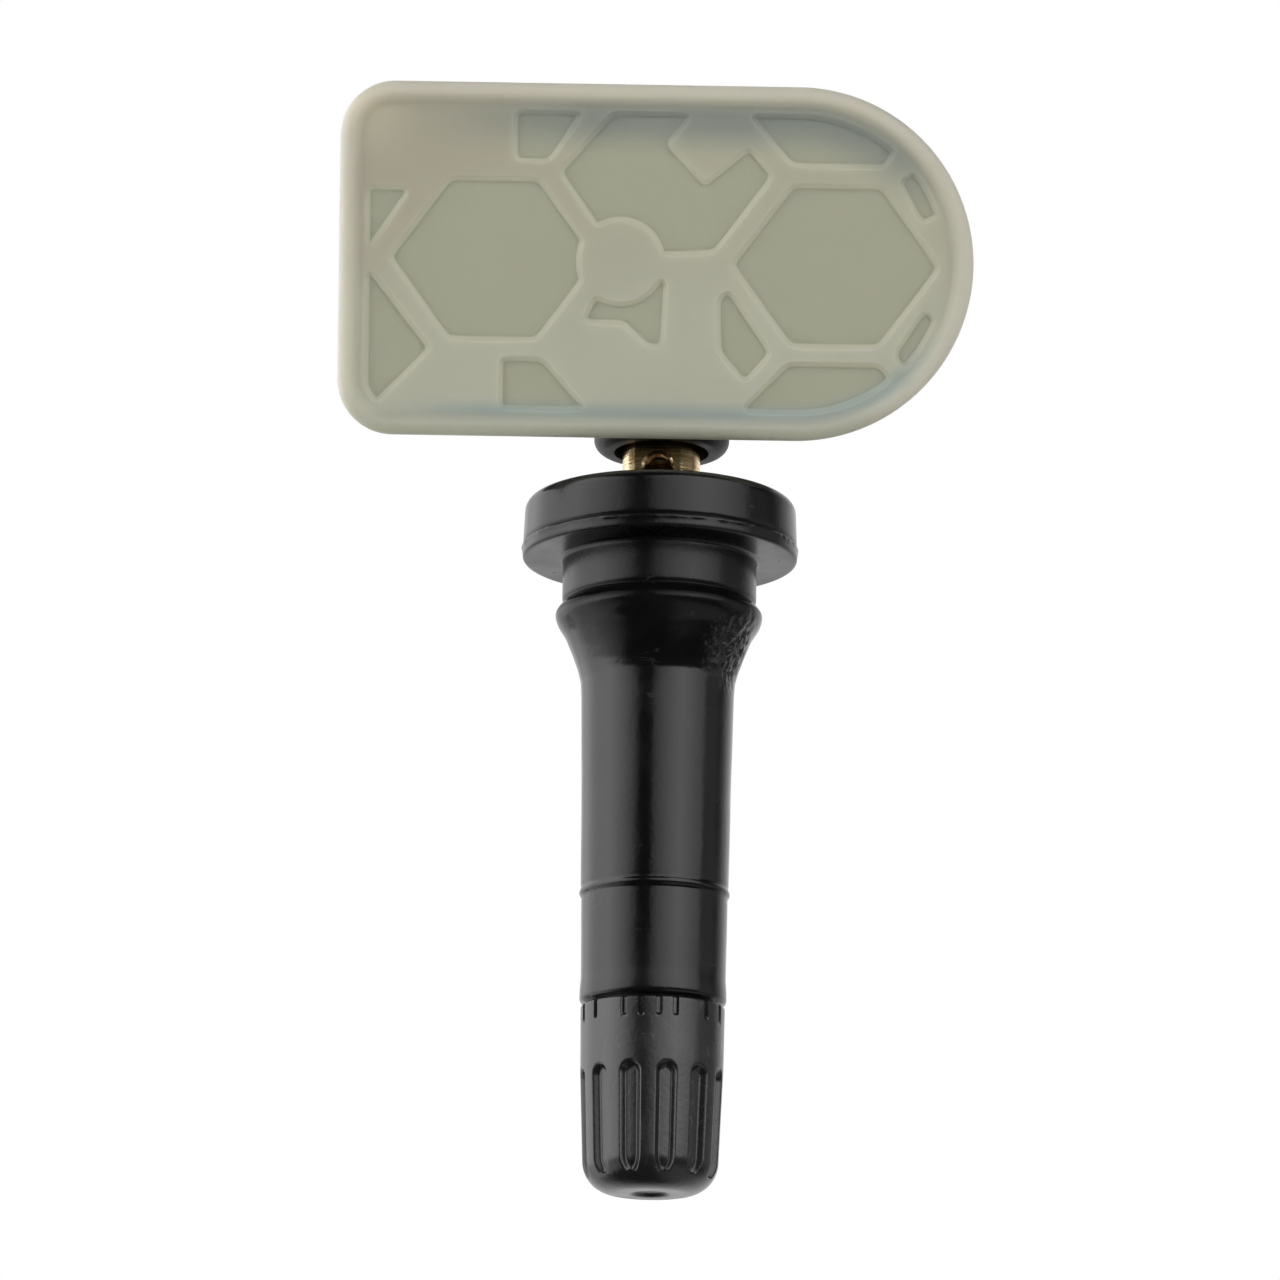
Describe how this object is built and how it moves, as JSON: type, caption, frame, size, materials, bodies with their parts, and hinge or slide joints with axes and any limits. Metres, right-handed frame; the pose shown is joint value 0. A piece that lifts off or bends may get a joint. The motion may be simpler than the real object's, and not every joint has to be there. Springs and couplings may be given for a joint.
{
  "type": "tyre pressure sensor with snap-in valve",
  "caption": "Tyre pressure sensor: a D-shaped ribbed housing screwed to the brass end of a snap-in rubber valve with core and screw cap.",
  "frame": {"origin": "valve axis at the rim seat, the underside of the rubber flange", "axes": "+Z along the valve axis towards the sensor body, -Y towards the viewer of the ribbed cover, +X towards the body's round end"},
  "size_m": [0.0435, 0.0228, 0.0774],
  "materials": {
    "cover_plastic": "milky translucent moulded plastic, satin",
    "shell_plastic": "black moulded plastic, satin",
    "board": "coated glass-fibre board",
    "cell_steel": "nickel-plated steel",
    "tab_metal": "tinned strip",
    "chip_plastic": "moulded chip package",
    "silicone": "soft sealing rubber",
    "ferrite": "sintered ceramic",
    "copper": "enamelled copper wire",
    "screw_steel": "zinc-plated steel",
    "brass": "turned brass, bright",
    "rubber": "black moulded rubber, satin",
    "gasket": "fluoropolymer ring",
    "cap_plastic": "dark grey moulded plastic, satin"
  },
  "bodies": {
    "valve": {"front_cover": "cover_plastic", "rear_shell": "shell_plastic", "circuit_board": "board", "coin_cell": "cell_steel", "battery_tab_negative": "tab_metal", "battery_tab_positive": "tab_metal", "sensor_chip": "chip_plastic", "port_seal": "silicone", "coil_core": "ferrite", "coil_winding": "copper", "antenna_strap": "tab_metal", "crystal": "cell_steel", "capacitors": "ferrite", "clamp_screw": "screw_steel", "brass_stem": "brass", "rubber_valve": "rubber", "core_plug": "brass", "core_barrel": "brass", "core_gasket": "gasket", "core_spring": "screw_steel"},
    "valve_pin": {"core_pin": "brass", "core_cup": "brass", "core_seal": "silicone"},
    "cap_lift": {"cap_seal": "rubber"},
    "cap": {"valve_cap": "cap_plastic"}
  },
  "joints": [
    {"name": "pin_press", "type": "slide", "parent": "valve", "child": "valve_pin", "axis": [0, 0, 1], "range_m": [0, 0.0011], "stiffness_N_per_m": 600, "springref_m": -0.002, "deforming": ["core_spring"]},
    {"name": "cap_travel", "type": "slide", "parent": "valve", "child": "cap_lift", "axis": [0, 0, -1], "range_m": [0, 0.00992]},
    {"name": "cap_turn", "type": "hinge", "parent": "cap_lift", "child": "cap", "pos_m": [0, 0, -0.0376], "axis": [0, 0, -1], "range_deg": [0, 4500]}
  ],
  "couplings": [
    {"joint": "cap_turn", "follows": "cap_travel", "rad_per_m": 7915.8}
  ]
}
